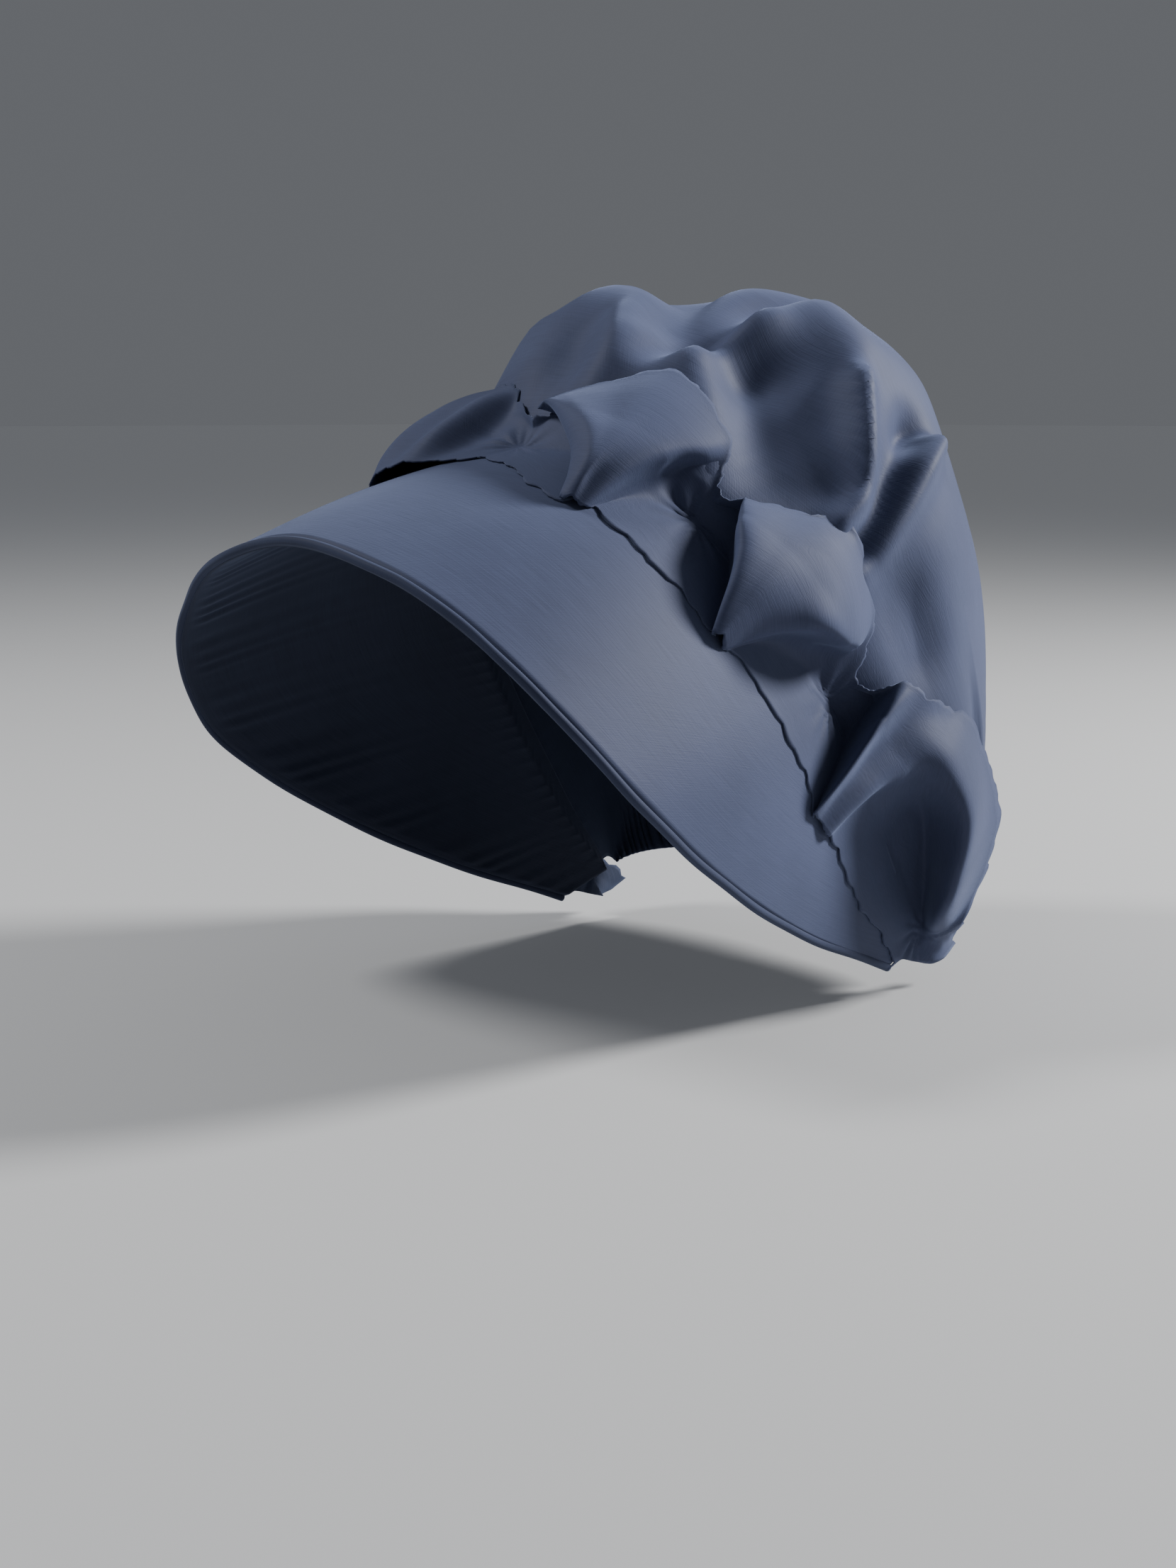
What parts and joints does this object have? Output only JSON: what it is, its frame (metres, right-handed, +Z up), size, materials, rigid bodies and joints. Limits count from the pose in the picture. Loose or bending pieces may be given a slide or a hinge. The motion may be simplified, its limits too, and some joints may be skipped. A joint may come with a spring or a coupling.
{
  "type": "poke bonnet",
  "caption": "Silk poke bonnet with a stiffened flaring brim, a soft puffed crown and a ruched pinked band over their seam, shaped as worn.",
  "frame": {"origin": "the place inside the crown, behind the top of the seam, where the top of the head carries the bonnet", "axes": "+Z up as worn, the brim opens towards -Y, +X is the wearer's left"},
  "size_m": [0.2558, 0.3271, 0.2645],
  "materials": {
    "brim_silk": "dark slate blue silk with a soft satin face over stiffened buckram",
    "lining_silk": "dark slate blue silk lining, slightly gathered",
    "edge_silk": "dark slate blue silk rolled over a wire",
    "crown_silk": "dark slate blue silk, soft satin face, unstiffened",
    "band_silk": "dark slate blue silk strip, soft satin face, pinked edges"
  },
  "bodies": {
    "root": {"brim": "brim_silk", "brim_lining": "lining_silk", "brim_edge_roll": "edge_silk", "crown": "crown_silk", "ruched_band": "band_silk"}
  },
  "joints": []
}
